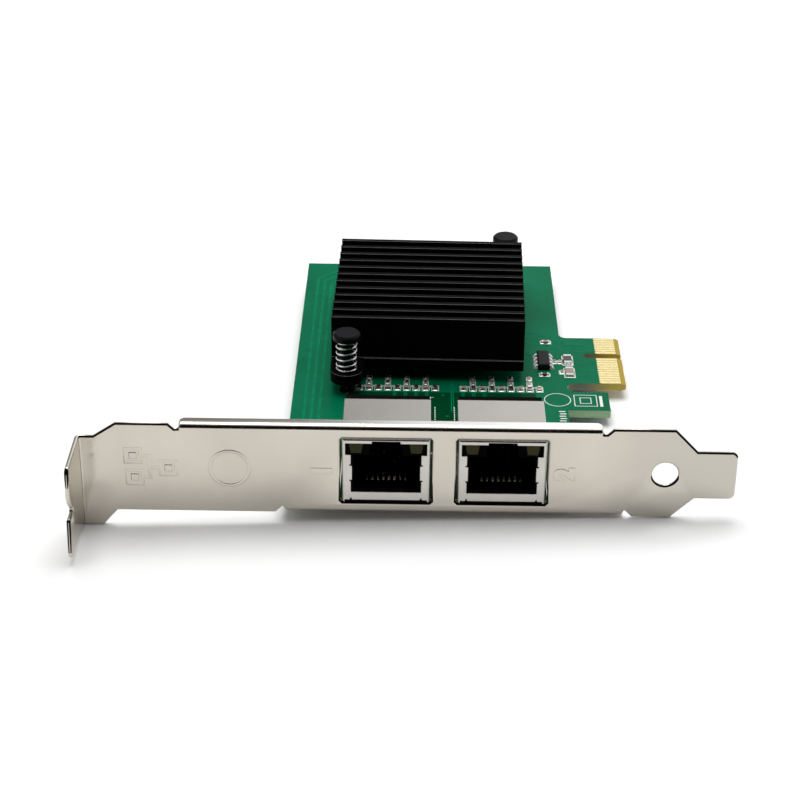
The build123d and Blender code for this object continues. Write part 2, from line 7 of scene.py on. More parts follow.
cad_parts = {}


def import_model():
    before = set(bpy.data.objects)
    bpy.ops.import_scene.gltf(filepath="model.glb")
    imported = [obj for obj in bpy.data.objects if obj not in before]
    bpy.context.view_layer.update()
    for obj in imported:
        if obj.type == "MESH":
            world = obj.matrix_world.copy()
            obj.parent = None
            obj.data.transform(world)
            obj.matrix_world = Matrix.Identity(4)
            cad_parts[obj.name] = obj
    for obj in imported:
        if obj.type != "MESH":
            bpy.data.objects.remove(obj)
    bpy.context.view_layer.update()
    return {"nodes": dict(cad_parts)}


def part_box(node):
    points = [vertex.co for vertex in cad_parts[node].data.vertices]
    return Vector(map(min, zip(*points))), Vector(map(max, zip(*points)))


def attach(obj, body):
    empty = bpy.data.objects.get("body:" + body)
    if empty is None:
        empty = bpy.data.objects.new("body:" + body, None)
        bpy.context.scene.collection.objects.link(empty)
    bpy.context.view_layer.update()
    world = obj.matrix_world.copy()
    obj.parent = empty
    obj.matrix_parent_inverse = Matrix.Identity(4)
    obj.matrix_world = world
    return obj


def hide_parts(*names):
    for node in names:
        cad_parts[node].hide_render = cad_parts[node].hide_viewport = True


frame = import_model()
nodes = frame["nodes"]
mm = 0.001
sameSpot = 0.001 * mm  # points nearer than this are one
print("frame loaded,", len(nodes), "nodes")


# Shader nodes

class Wire:
    # a socket that can stand in a sum
    def __init__(self, nodeSet, socket):
        self.nodeSet, self.socket = nodeSet, socket

    def sum(self, operation, first, second=0.0):
        return self.nodeSet.node("Math", {"operation": operation}, {0: first, 1: second})

    def __add__(self, other):
        return self.sum("ADD", self, other)

    def __radd__(self, other):
        return self.sum("ADD", other, self)

    def __sub__(self, other):
        return self.sum("SUBTRACT", self, other)

    def __rsub__(self, other):
        return self.sum("SUBTRACT", other, self)

    def __mul__(self, other):
        return self.sum("MULTIPLY", self, other)

    def __rmul__(self, other):
        return self.sum("MULTIPLY", other, self)

    def __gt__(self, other):
        return self.sum("GREATER_THAN", self, other)

    def __lt__(self, other):
        return self.sum("LESS_THAN", self, other)

    def __abs__(self):
        return self.sum("ABSOLUTE", self)

    def largest(self, other):
        return self.sum("MAXIMUM", self, other)


class NodeSet:
    def __init__(self, tree):
        self.tree = tree
        tree.nodes.clear()

    def node(self, kind, settings=None, sockets=None, out=0):
        made = self.tree.nodes.new("ShaderNode" + kind)
        for name, value in (settings or {}).items():
            setattr(made, name, value)
        for name, value in (sockets or {}).items():
            self.join(value, made.inputs[name])
        return Wire(self, made.outputs[out])

    def join(self, value, socket):
        if isinstance(value, Wire):
            self.tree.links.new(value.socket, socket)
        elif hasattr(socket.default_value, "__len__") and len(value) == 3 and len(socket.default_value) == 4:
            socket.default_value = (*value, 1)
        else:
            socket.default_value = value

    def place(self, stretch=(1, 1, 1)):
        # where a point lies in the frame, in millimetres, with each axis stretched
        spot = self.node("TexCoord", out="Object")
        scale = tuple(1000 * part for part in stretch)
        return self.node("VectorMath", {"operation": "MULTIPLY"}, {0: spot, 1: scale})

    def parts(self, vector):
        split = self.node("SeparateXYZ", sockets={0: vector})
        return [Wire(self, socket) for socket in split.socket.node.outputs]

    def noise(self, size, detail=2.0, stretch=(1, 1, 1), rough=0.5):
        # soft noise from 0 to 1 with lumps of about this size in millimetres
        return self.node("TexNoise", sockets={"Vector": self.place(stretch), "Scale": 1 / size,
                                              "Detail": detail, "Roughness": rough})

    def ramp(self, value, low, high, bottom=0.0, top=1.0):
        return self.node("MapRange", {"clamp": True}, {"Value": value, "From Min": low, "From Max": high,
                                                       "To Min": bottom, "To Max": top})

    def mix(self, share, first, second):
        return self.node("Mix", {"data_type": "RGBA"}, {0: share, 6: first, 7: second}, out=2)

    def bump(self, height, depth, normal=None):
        # height runs from 0 to 1, and depth is in millimetres
        sockets = {"Height": height, "Distance": depth * mm, "Strength": 1.0}
        if normal:
            sockets["Normal"] = normal
        return self.node("Bump", sockets=sockets)

    def worn(self, radius, samples=6):
        return self.node("Bevel", {"samples": samples}, {"Radius": radius * mm})


def finish(name, color, metallic=0.0, **uniform):
    # a material with its shader; uniform values go straight on the shader's sockets
    material = bpy.data.materials.new(name)
    material.use_nodes = True
    made = NodeSet(material.node_tree)
    made.material = material
    shader = made.node("BsdfPrincipled").socket.node
    output = made.tree.nodes.new("ShaderNodeOutputMaterial")
    made.tree.links.new(shader.outputs[0], output.inputs["Surface"])
    made.shader = shader
    shader.inputs["Base Color"].default_value = (*color, 1)
    shader.inputs["Metallic"].default_value = metallic
    for socket, value in uniform.items():
        made.join(value, shader.inputs[socket])
    return made


def feed(made, **values):
    for socket, value in values.items():
        made.join(value, made.shader.inputs[socket.replace("_", " ")])
    return made.material


common = (0.3, 0.7)  # soft noise has most of its values in this span
plating = {"darker": 0.82, "grain": 0.35, "line": 0.25, "cloudShare": 0.6, "duller": 0.06, "shinier": 0.05,
           "lineSpan": (0.45, 0.75), "lineRough": 0.05, "grainShare": 0.6}


def sheetMetal(name, look):
    # plated sheet: soft clouds, faint drawn lines, and edges that catch the light
    made = finish(name, look["color"], 1.0)
    clouds = made.noise(look["cloudSize"], 3.0)
    grain = made.noise(plating["grain"], 2.0)
    lines = made.noise(plating["line"], 1.0, look["lineStretch"])
    shade = made.ramp(clouds, *common, look["darkest"], 1.0)
    tone = made.mix(shade, tuple(part * plating["darker"] for part in look["color"]), look["color"])
    share = plating["cloudShare"]
    rough = made.ramp(clouds * share + grain * (1 - share), *common,
                      look["rough"] + plating["duller"], look["rough"] - plating["shinier"])
    rough = rough + made.ramp(lines, *plating["lineSpan"], 0.0, plating["lineRough"])
    # the bracket adds painted light here: painted shade on its punched edges and tongue end, and a painted highlight on
    # its fold
    if "paintedLight" in look:
        tone, rough = paintEdgeLight(made, look["paintedLight"], tone, rough)
    share = plating["grainShare"]
    skin = made.bump(grain * share + lines * (1 - share), look["grainDepth"], made.worn(look["edge"]))
    return feed(made, Base_Color=tone, Roughness=rough, Normal=skin)


def paintEdgeLight(made, cut, tone, rough):
    # the top-facing punched edges get a near-black painted shade and more roughness, but not the fold between them,
    # whose flat top gets a painted highlight towards the right; the tongue's end gets a darker painted shade
    x, y, z = made.parts(made.place())
    across, ahead, up = made.parts(made.node("NewGeometry", out="Normal"))
    dark = made.ramp(ahead, *cut["fromFace"]) * made.ramp(ahead, *cut["towardsBack"]) * (up > cut["up"])
    dark = dark * (y < cut["back"])
    fold = (x > cut["foldFrom"]) * (x < cut["foldTo"]) * (z > cut["foldZ"])
    dark = dark * (1 - fold)
    bright = fold * (up > cut["flat"]) * made.ramp(x, *cut["brightFrom"])
    tone = made.mix(bright, tone, cut["brightColor"])
    tone = made.mix(made.ramp(x, *cut["endFrom"], 0, cut["endShare"]), tone, cut["endColor"])
    tone = made.mix(dark, tone, cut["color"])
    return tone, rough + dark * cut["dull"]


usualSkin = {"patch": 2.5, "grain": 0.12, "grainDepth": 0.012, "lighter": 1.35, "spread": 0.06, "edge": 0.08,
             "uniform": {}}


def moulded(name, look):
    # moulded or glazed piece: a fine skin, duller patches and soft edges
    look = {**usualSkin, **look}
    made = finish(name, look["color"], 0.0, **look["uniform"])
    patches = made.noise(look["patch"], 2.0)
    grain = made.noise(look["grain"], 2.0)
    tone = made.mix(made.ramp(patches, *common), look["color"],
                    tuple(part * look["lighter"] for part in look["color"]))
    rough = made.ramp(patches, *common, look["rough"] - look["spread"], look["rough"] + look["spread"])
    skin = made.bump(grain, look["grainDepth"], made.worn(look["edge"]))
    return feed(made, Base_Color=tone, Roughness=rough, Normal=skin)


bracketLook = {"color": (0.62, 0.580, 0.510), "cloudSize": 14.0, "lineStretch": (0.08, 1, 1), "darkest": 0.45,
               "rough": 0.13, "grainDepth": 0.001, "edge": 0.2,
               # painted light: near-black painted shade on the punched edges, a near-white painted highlight on the
               # fold's top at the right, and a darker painted shade at the tongue's end
               "paintedLight": {"fromFace": (-0.99, -0.96), "towardsBack": (-0.3, -0.4), "up": 0.08, "back": -58.1,
                           "foldFrom": -85.5, "foldTo": -9.0, "foldZ": 12.0, "flat": 0.9, "dull": 0.3,
                           "color": (0.007, 0.007, 0.0065), "brightFrom": (-78, -50),
                           "brightColor": (0.95, 0.94, 0.91), "endFrom": (-10, 8), "endShare": 0.8,
                           "endColor": (0.50, 0.475, 0.42)}}
shieldLook = {"color": (0.57, 0.55, 0.51), "cloudSize": 5.0, "lineStretch": (1, 0.1, 1), "darkest": 0.6,
              "rough": 0.18, "grainDepth": 0.001, "edge": 0.18}
screwLook = {"color": (0.68, 0.68, 0.66), "cloudSize": 1.5, "lineStretch": (1, 1, 0.2), "darkest": 0.2,
             "rough": 0.28, "grainDepth": 0.006, "edge": 0.12}
canLook = {"color": (0.72, 0.72, 0.71), "cloudSize": 3.0, "lineStretch": (0.1, 1, 1), "darkest": 0.5,
           "rough": 0.24, "grainDepth": 0.003, "edge": 0.12}
leadLook = {"color": (0.76, 0.76, 0.75), "cloudSize": 0.8, "lineStretch": (1, 1, 1), "darkest": 0.4,
            "rough": 0.3, "grainDepth": 0.004, "edge": 0.05}
wireLook = {"color": (0.80, 0.80, 0.80), "cloudSize": 1.0, "lineStretch": (1, 1, 1), "darkest": 0.4,
            "rough": 0.18, "grainDepth": 0.002, "edge": 0.03}
goldLook = {"color": (1.0, 0.86, 0.45), "cloudSize": 1.4, "lineStretch": (0.1, 1, 1), "darkest": 0.5,
            "rough": 0.18, "grainDepth": 0.002, "edge": 0.03}

bracketNickel = sheetMetal("bracketNickel", bracketLook)
markLook = {key: value for key, value in bracketLook.items() if key != "paintedLight"}
markNickel = sheetMetal("markNickel", {**markLook, "edge": 0.02, "rough": 0.17})
shieldNickel = sheetMetal("shieldNickel", shieldLook)
screwZinc = sheetMetal("screwZinc", screwLook)
canNickel = sheetMetal("canNickel", canLook)
leadTin = sheetMetal("leadTin", leadLook)
springWire = sheetMetal("springWire", wireLook)
contactGold = sheetMetal("contactGold", goldLook)
# the jack contacts take a paler copy of the gold, a painted highlight standing in for the glints on the bent wires
springGoldBrightened = sheetMetal("springGoldBrightened", {**goldLook, "color": (1.0, 0.93, 0.74), "rough": 0.2})

jackBlack = moulded("jackBlack", {"color": (0.0018, 0.0018, 0.0018), "rough": 0.6, "edge": 0.1,
                                  "uniform": {"Specular IOR Level": 0.01}})
pinBlack = moulded("pinBlack", {"color": (0.004, 0.004, 0.005), "rough": 0.38, "edge": 0.25, "grain": 0.3,
                                "uniform": {"Specular IOR Level": 0.06}})
chipEpoxy = moulded("chipEpoxy", {"color": (0.010, 0.010, 0.011), "rough": 0.55, "grain": 0.08,
                                  "grainDepth": 0.02, "uniform": {"Specular IOR Level": 0.12}})
padGrey = moulded("padGrey", {"color": (0.26, 0.28, 0.32), "rough": 0.75, "grain": 0.25, "grainDepth": 0.05,
                              "lighter": 1.1})
resistorGlaze = moulded("resistorGlaze", {"color": (0.018, 0.018, 0.022), "rough": 0.3, "grain": 0.1})
capacitorTan = moulded("capacitorTan", {"color": (0.26, 0.21, 0.16), "rough": 0.5, "grain": 0.08,
                                        "lighter": 1.2})
tantalumYellow = moulded("tantalumYellow", {"color": (0.62, 0.36, 0.04), "rough": 0.42, "lighter": 1.1})
lampSmoke = moulded("lampSmoke", {"color": (0.036, 0.034, 0.008), "rough": 0.25, "edge": 0.12, "grain": 0.6,
                                  "grainDepth": 0.004, "uniform": {"Specular IOR Level": 0.1}})
print("plain finishes made")


sinkLook = {"color": (0.0018, 0.0018, 0.0020), "paler": (0.003, 0.003, 0.0032), "paleSpan": (0.35, 0.65),
            "edgeHighlight": (0.34, 0.34, 0.35), "edgeSpan": (0.12, 0.45), "edge": 0.18, "line": 0.22, "cloud": 6.0,
            "grain": 0.09, "lineShare": 0.7, "depth": 0.008, "rough": (0.30, 0.42), "specular": 0.015}


def anodised(look):
    # black anodised extrusion: fine lines along the fins, and a painted highlight, a paler colour, on the front top
    # edges of the fins
    made = finish("anodisedBlack", look["color"], 0.0, **{"Specular IOR Level": look["specular"]})
    lines = made.noise(look["line"], 2.0, (0.02, 1, 1))
    clouds = made.noise(look["cloud"], 2.0)
    grain = made.noise(look["grain"], 1.0)
    tone = made.mix(made.ramp(clouds * 0.5 + lines * 0.5, *look["paleSpan"]), look["color"], look["paler"])
    rounded = made.worn(look["edge"], 8)
    # painted highlight: a paler colour where the rounded normal faces front and up, on the fins' front top edges
    across, ahead, up = made.parts(rounded)
    tone = made.mix(made.ramp((0 - ahead) * up, *look["edgeSpan"]), tone, look["edgeHighlight"])
    rough = made.ramp(lines, *common, *look["rough"])
    share = look["lineShare"]
    skin = made.bump(lines * share + grain * (1 - share), look["depth"], rounded)
    return feed(made, Base_Color=tone, Roughness=rough, Normal=skin)


# colours of the mask and of the bare laminate; a zone has the spans over which its mask fades in
mask = {"deep": (0.0, 0.112, 0.048), "pale": (0.0, 0.150, 0.070), "cloud": 14.0, "specular": 0.03,
        "laminate": (0.36, 0.56, 0.33), "grey": (0.29, 0.28, 0.23), "golden": (0.60, 0.45, 0.08),
        "slope": (0.38, 0.28, 0.05), "between": (0.70, 0.55, 0.22), "betweenShare": 0.9,
        "contactsFrom": (-5.15, -12.4), "tabFrom": (-16.0, -13.0), "goldenSpan": (-8.0, -3.0),
        "flat": 0.97, "nearlyFlat": 0.9, "thread": 0.5, "threadStretch": 0.15, "threadSpan": (0.4, 0.6),
        "threadShare": 0.25, "threadDepth": 0.006, "edge": 0.06, "roughEdge": 0.6, "roughFace": 0.26,
        "roughCloud": 0.06}
# darker mask zones: the first is partly the mask's own tone where no copper lies under it and partly painted shade; the
# second, round the jacks, is painted shade
bareAndShadedZone = {"left": (-56.6, -56.3), "right": (-18.4, -18.7), "front": (-16.6, -17.0), "color": (0.0, 0.040, 0.012)}
jackShadeZone = {"left": (-57.9, -57.7), "right": (-15.9, -16.1), "front": (-36.0, -37.0), "color": (0.0, 0.012, 0.004)}


def boardFinish():
    # green mask over copper on the faces, bare laminate on cut edges, holes and the slope of the edge tab
    made = finish("boardMask", mask["deep"], 0.0, **{"Specular IOR Level": mask["specular"]})
    x, y, z = made.parts(made.place())
    up = made.parts(made.node("NewGeometry", out="True Normal"))[2]
    flatFace = abs(up) > mask["flat"]
    slope = (abs(up) > mask["nearlyFlat"]) * (1 - flatFace)
    clouds = made.noise(mask["cloud"], 3.0)
    thread, narrow = mask["thread"], mask["threadStretch"]
    weave = made.noise(thread, 1.0, (1, narrow, 1)) * 0.5 + made.noise(thread, 1.0, (narrow, 1, 1)) * 0.5
    green = made.mix(made.ramp(clouds, *common), mask["deep"], mask["pale"])

    def zone(place):
        return made.ramp(x, *place["left"]) * made.ramp(x, *place["right"]) * made.ramp(y, *place["front"])

    # the mask is darker in front of the heatsink, partly its own tone where no copper lies under it and partly painted
    # shade, and darkest round the jacks, which is painted shade
    green = made.mix(zone(bareAndShadedZone), green, bareAndShadedZone["color"])
    green = made.mix(zone(jackShadeZone) * (up > 0), green, jackShadeZone["color"])
    contacts = (x > mask["contactsFrom"][0]) * (y > mask["contactsFrom"][1])
    green = made.mix(contacts * mask["betweenShare"], green, mask["between"])
    tab = (y > mask["tabFrom"][1]) * (x > mask["tabFrom"][0])
    edge = made.mix(tab, mask["laminate"],
                    made.mix(made.ramp(x, *mask["goldenSpan"]), mask["grey"], mask["golden"]))
    edge = made.mix(made.ramp(weave, *mask["threadSpan"], 0.0, mask["threadShare"]), edge, mask["grey"])
    edge = made.mix(slope, edge, mask["slope"])
    tone = made.mix(flatFace, edge, green)
    rough = made.ramp(flatFace, 0, 1, mask["roughEdge"], mask["roughFace"])
    rough = rough + made.ramp(clouds, *common, 0.0, mask["roughCloud"])
    skin = made.bump(weave, mask["threadDepth"], made.worn(mask["edge"]))
    return feed(made, Base_Color=tone, Roughness=rough, Normal=skin)


anodisedBlack = anodised(sinkLook)
boardMask = boardFinish()
traceGreen = moulded("traceGreen", {"color": (0.0, 0.148, 0.068), "rough": 0.24, "edge": 0.01, "grain": 0.4,
                                    "grainDepth": 0.002, "uniform": {"Specular IOR Level": 0.03}})
printWhite = moulded("printWhite", {"color": (0.72, 0.73, 0.70), "rough": 0.6, "edge": 0.01, "lighter": 1.12})
solderTin = sheetMetal("solderTin", {"color": (0.78, 0.78, 0.77), "cloudSize": 0.6, "lineStretch": (1, 1, 1),
                                     "darkest": 0.3, "rough": 0.22, "grainDepth": 0.006, "edge": 0.02})
dullTin = sheetMetal("dullTin", {"color": (0.88, 0.88, 0.87), "cloudSize": 0.5, "lineStretch": (1, 1, 1),
                                 "darkest": 0.7, "rough": 0.5, "grainDepth": 0.004, "edge": 0.05})

nodeFinishes = {
    "bracket": bracketNickel, "bracket_screws": screwZinc, "circuit_board": boardMask,
    "edge_contacts": contactGold, "heatsink": anodisedBlack, "controller_chip": chipEpoxy,
    "thermal_pad": padGrey, "crystal": canNickel, "memory_chip": chipEpoxy, "memory_chip_leads": leadTin,
    "resistors": resistorGlaze, "resistor_caps": solderTin, "capacitors": capacitorTan,
    "capacitor_caps": solderTin, "regulators": chipEpoxy, "regulator_leads": leadTin,
    "tantalum_capacitors": tantalumYellow, "tantalum_leads": leadTin}
for end in ("front", "rear"):
    nodeFinishes["push_pin_" + end] = pinBlack
    nodeFinishes["spring_" + end] = springWire
for jack in ("jack_1", "jack_2"):
    nodeFinishes.update({
        jack + "_shield": shieldNickel, jack + "_housing": jackBlack, jack + "_carrier": jackBlack,
        jack + "_contacts": springGoldBrightened, jack + "_lenses": lampSmoke, jack + "_lamp_leads": leadTin})
for name, node in nodes.items():
    node.data.materials.clear()
    node.data.materials.append(nodeFinishes[name])
print("frame dressed")


# Mesh pieces

class Shape:
    # the points and faces of one piece, in millimetres
    def __init__(self):
        self.mesh = bmesh.new()

    def loop(self, points):
        return [self.mesh.verts.new(Vector(point) * mm) for point in points]

    def walls(self, lower, upper):
        count = len(lower)
        for index in range(count):
            after = (index + 1) % count
            self.mesh.faces.new((lower[index], lower[after], upper[after], upper[index]))

    def stack(self, levels):
        # closed rings of points, one above the other, with a face at each end
        rings = [self.loop(points) for points in levels]
        for lower, upper in zip(rings, rings[1:]):
            self.walls(lower, upper)
        self.mesh.faces.new(list(reversed(rings[0])))
        self.mesh.faces.new(rings[-1])

    def slab(self, outline, low, high):
        self.stack([[(x, y, z) for x, y in outline] for z in (low, high)])

    def frame(self, outer, inner, low, high):
        # a slab with a hole of the same number of corners
        bottoms = [self.loop([(x, y, low) for x, y in edge]) for edge in (outer, inner)]
        tops = [self.loop([(x, y, high) for x, y in edge]) for edge in (outer, inner)]
        self.walls(bottoms[0], tops[0])
        self.walls(tops[0], tops[1])
        self.walls(tops[1], bottoms[1])
        self.walls(bottoms[1], bottoms[0])

    def strip(self, points, width, low, high):
        # a flat run with mitred corners
        points = [Vector(point) for point in points]
        sides = []
        for index, point in enumerate(points):
            before = (point - points[index - 1]).normalized() if index else None
            after = (points[index + 1] - point).normalized() if index + 1 < len(points) else before
            run = ((before or after) + after).normalized()
            across = Vector((-run.y, run.x))
            reach = width / 2 / max(0.5, across.dot(Vector((-after.y, after.x))))  # a sharp corner isn't drawn out
            sides.append((point + across * reach, point - across * reach))
        outline = [side[1] for side in sides] + [side[0] for side in reversed(sides)]
        self.slab([tuple(corner) for corner in outline], low, high)

    def turned(self, profile, middle, steps=16):
        # a profile of radius and height turned about an upright line; a radius of 0 closes an end
        rings = []
        for radius, height in profile:
            edge = circle(middle, radius, steps) if radius else [middle]
            rings.append(self.loop([(x, y, height) for x, y in edge]))
        for lower, upper in zip(rings, rings[1:]):
            for index in range(steps):
                after = (index + 1) % steps
                corners = [lower[0]] if len(lower) == 1 else [lower[index], lower[after]]
                corners += [upper[0]] if len(upper) == 1 else [upper[after], upper[index]]
                self.mesh.faces.new(corners)

    def piece(self, name, material, slot, smooth=0.0):
        bmesh.ops.recalc_face_normals(self.mesh, faces=self.mesh.faces)
        data = bpy.data.meshes.new(name)
        self.mesh.to_mesh(data)
        self.mesh.free()
        if smooth:
            data.set_sharp_from_angle(angle=math.radians(smooth))
            for face in data.polygons:
                face.use_smooth = True
        return addPiece(name, data, material)


def addPiece(name, data, material):
    data.materials.clear()
    data.materials.append(material)
    made = bpy.data.objects.new(name, data)
    bpy.context.scene.collection.objects.link(made)
    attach(made, "root")
    return made


def oblong(middle, size):
    (x, y), (width, depth) = middle, size
    return [(x - width / 2, y - depth / 2), (x + width / 2, y - depth / 2),
            (x + width / 2, y + depth / 2), (x - width / 2, y + depth / 2)]


def grown(size, margin):
    return tuple(part + 2 * margin for part in size)


def circle(middle, radius, steps=24):
    return [(middle[0] + radius * math.cos(math.tau * step / steps),
             middle[1] + radius * math.sin(math.tau * step / steps)) for step in range(steps)]


def solids(node):
    # the middle, size and height of each separate solid of a node, from above, in millimetres
    work = bmesh.new()
    work.from_mesh(nodes[node].data)
    bmesh.ops.remove_doubles(work, verts=work.verts, dist=sameSpot)
    boxes, left = [], set(work.verts)
    while left:
        found, border = [], [left.pop()]
        while border:
            point = border.pop()
            found.append(point.co / mm)
            for edge in point.link_edges:
                other = edge.other_vert(point)
                if other in left:
                    left.remove(other)
                    border.append(other)
        boxes.append([(min(co[axis] for co in found), max(co[axis] for co in found)) for axis in range(3)])
    work.free()
    return [(((x0 + x1) / 2, (y0 + y1) / 2), (x1 - x0, y1 - y0), z1 - z0)
            for (x0, x1), (y0, y1), (z0, z1) in sorted(boxes)]


# The folded sheet again, with the rolled edges that stamping leaves

rolled = {"reach": 0.42, "steps": 5, "fromAngle": 50, "joinUnder": 0.5, "smooth": 35}


def rolledBracket():
    shape = Shape()
    shape.mesh.from_mesh(nodes["bracket"].data)
    bmesh.ops.remove_doubles(shape.mesh, verts=shape.mesh.verts, dist=sameSpot)
    bmesh.ops.dissolve_limit(shape.mesh, angle_limit=math.radians(rolled["joinUnder"]), verts=shape.mesh.verts,
                             edges=shape.mesh.edges)
    sharp = [edge for edge in shape.mesh.edges if edge.calc_face_angle(0) > math.radians(rolled["fromAngle"])]
    bmesh.ops.bevel(shape.mesh, geom=sharp, offset=rolled["reach"] * mm, offset_type="OFFSET",
                    segments=rolled["steps"], profile=0.5, affect="EDGES", clamp_overlap=False)
    made = shape.piece("rolled_bracket", bracketNickel, "bracket_steel", rolled["smooth"])
    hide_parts("bracket")
    print("bracket rolled,", len(sharp), "edges,", len(made.data.polygons), "faces")


rolledBracket()


# Fine coils in place of the plain springs

coil = {"wire": 0.42, "diameter": 4.4, "turns": 6.5, "closedGap": 0.03, "aroundWire": 12, "stepsPerTurn": 30}


def springCoil(end):
    (lowX, lowY, low), (highX, highY, high) = (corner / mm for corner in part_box("spring_" + end))
    middle = Vector(((lowX + highX) / 2, (lowY + highY) / 2, 0))
    wireRadius = coil["wire"] / 2
    closed = coil["wire"] + coil["closedGap"]
    openTurns = coil["turns"] - 2
    openPitch = (high - low - 2 * closed) / openTurns
    shape = Shape()
    rings = []
    count = round(coil["turns"] * coil["stepsPerTurn"])
    for step in range(count + 1):
        turn = step / coil["stepsPerTurn"]
        opened = min(max(turn - 1, 0), openTurns)
        rise = low + (turn - opened) * closed + opened * openPitch
        outward = Vector((math.cos(math.tau * turn), math.sin(math.tau * turn), 0))
        ring = []
        for index in range(coil["aroundWire"]):
            angle = math.tau * index / coil["aroundWire"]
            point = middle + outward * (coil["diameter"] / 2 - wireRadius + wireRadius * math.cos(angle))
            point.z = min(max(rise + wireRadius * math.sin(angle), low), high)
            ring.append(tuple(point))
        rings.append(ring)
    shape.stack(rings)
    made = shape.piece("coil_" + end, springWire, "spring_steel", 50)
    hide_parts("spring_" + end)


for end in ("front", "rear"):
    springCoil(end)
print("coil springs made")


# Solder at the small parts, on pads

# a profile holds shares of the rise, and how far the solder spreads there
skirt = {"profile": ((0, 0.2), (0.12, 0.124), (0.35, 0.06), (0.7, 0.02), (1, 0.002)), "rise": 0.62,
         "pad": 0.28, "padHeight": 0.02, "smooth": 40}
chipBlob = {"profile": ((0, 0.1), (0.35, 0.04), (0.75, -0.06), (1, -0.2)), "rise": 0.5, "out": 0.4,
            "size": (0.8, 0.74)}


def solderHeap(shape, middle, size, profile, rise):
    shape.stack([[(x, y, skirt["padHeight"] + share * rise) for x, y in oblong(middle, grown(size, spread))]
                 for share, spread in profile])


def smallSolder():
    solder, pads, feet = Shape(), Shape(), Shape()
    for node in ("resistor_caps", "capacitor_caps"):
        for middle, size, height in solids(node):
            solderHeap(solder, middle, size, skirt["profile"], height * skirt["rise"])
            pads.slab(oblong(middle, grown(size, skirt["pad"])), 0, skirt["padHeight"])
    chipMiddle, chipSize, chipHeight = solids("memory_chip")[0]
    for (x, y), size, height in solids("memory_chip_leads"):
        reach = math.copysign(chipSize[0] / 2 + chipBlob["out"], x - chipMiddle[0])
        solderHeap(feet, (chipMiddle[0] + reach, y), chipBlob["size"], chipBlob["profile"], chipBlob["rise"])
    feet.piece("chip_solder", dullTin, "lead_metal", skirt["smooth"])
    solder.piece("small_part_solder", solderTin, "lead_metal", skirt["smooth"])
    pads.piece("small_part_pads", contactGold, "gold")


smallSolder()


# Solder cones under the board, at every lead that comes through

boardBottom = -1.6
jackMiddles, jackFront = (-48.05, -26.95), -59.05
# the cone's profile holds shares of its radius, and depths under the board
joints = {"tailRadius": 0.95, "tabRadius": 1.5, "lampRadius": 0.85, "tabFromFront": 10.8, "tabFromMiddle": 7.925,
          "springs": 8, "pitch": 1.016, "rows": (13.3, 15.2), "lampX": (4.875, 6.075), "lampFromFront": 16.875,
          "cone": ((0, -0.02), (1, -0.02), (0.97, 0.06), (0.7, 0.22), (0.48, 0.5), (0.4, 0.85), (0.25, 1.0), (0, 1.04)),
          "steps": 18, "ringOut": 0.16, "ringIn": 0.9, "ringHeight": 0.03}


def undersideSolder():
    cones, rings = Shape(), Shape()
    spots = []
    for middle in jackMiddles:
        for index in range(joints["springs"]):
            x = middle + (index - (joints["springs"] - 1) / 2) * joints["pitch"]
            spots.append(((x, jackFront + joints["rows"][index % 2]), joints["tailRadius"]))
        for side in (-1, 1):
            spots.append(((middle + side * joints["tabFromMiddle"], jackFront + joints["tabFromFront"]),
                          joints["tabRadius"]))
            for x in joints["lampX"]:
                spots.append(((middle + side * x, jackFront + joints["lampFromFront"]), joints["lampRadius"]))
    for spot, radius in spots:
        cones.turned([(radius * share, boardBottom - depth) for share, depth in joints["cone"]], spot, joints["steps"])
        rings.frame(circle(spot, radius + joints["ringOut"]), circle(spot, radius * joints["ringIn"]),
                    boardBottom - joints["ringHeight"], boardBottom)
    cones.piece("underside_solder", solderTin, "lead_metal", 50)
    rings.piece("underside_pads", contactGold, "gold")


undersideSolder()
print("solder made")


# Copper runs under the green mask

# each pair from the edge contacts has its place along the edge, and how far it runs straight in
runs = {"pairs": ((-9.4, 12.6), (-6.3, 12.6), (-3.3, 16.2), (1.5, 12.0), (4.5, 12.0)), "width": 0.2,
        "height": 0.025, "halfGap": 0.25, "edgeX": -5.7, "stagger": 0.1, "chipY": 1.2, "chipPitch": 2.2,
        "topEndX": -27.4, "lowEndX": -31, "lowLater": 3}
jackRuns = {"count": 8, "pitch": 1.75, "pinch": 0.55, "endMiddle": -38.0, "gather": 0.62, "cardMiddle": -37.5,
            "lean": 0.55, "turnY": -30.5, "turnStep": 0.8, "topY": (-41.6, -12.0), "lowY": (-43.2, -4.0)}
feeds = {"left": (-64.9, -63.4, -61.9), "endX": -20, "endStep": 2, "turnStep": 1.2, "rearStep": 2.2,
         "top": {"frontY": -30.0, "turnY": 36.0, "rearY": 40.0, "cut": 4, "width": 0.6},
         "low": {"frontY": -34.0, "turnY": 34.0, "rearY": 39.0, "cut": 5, "width": 0.7}}


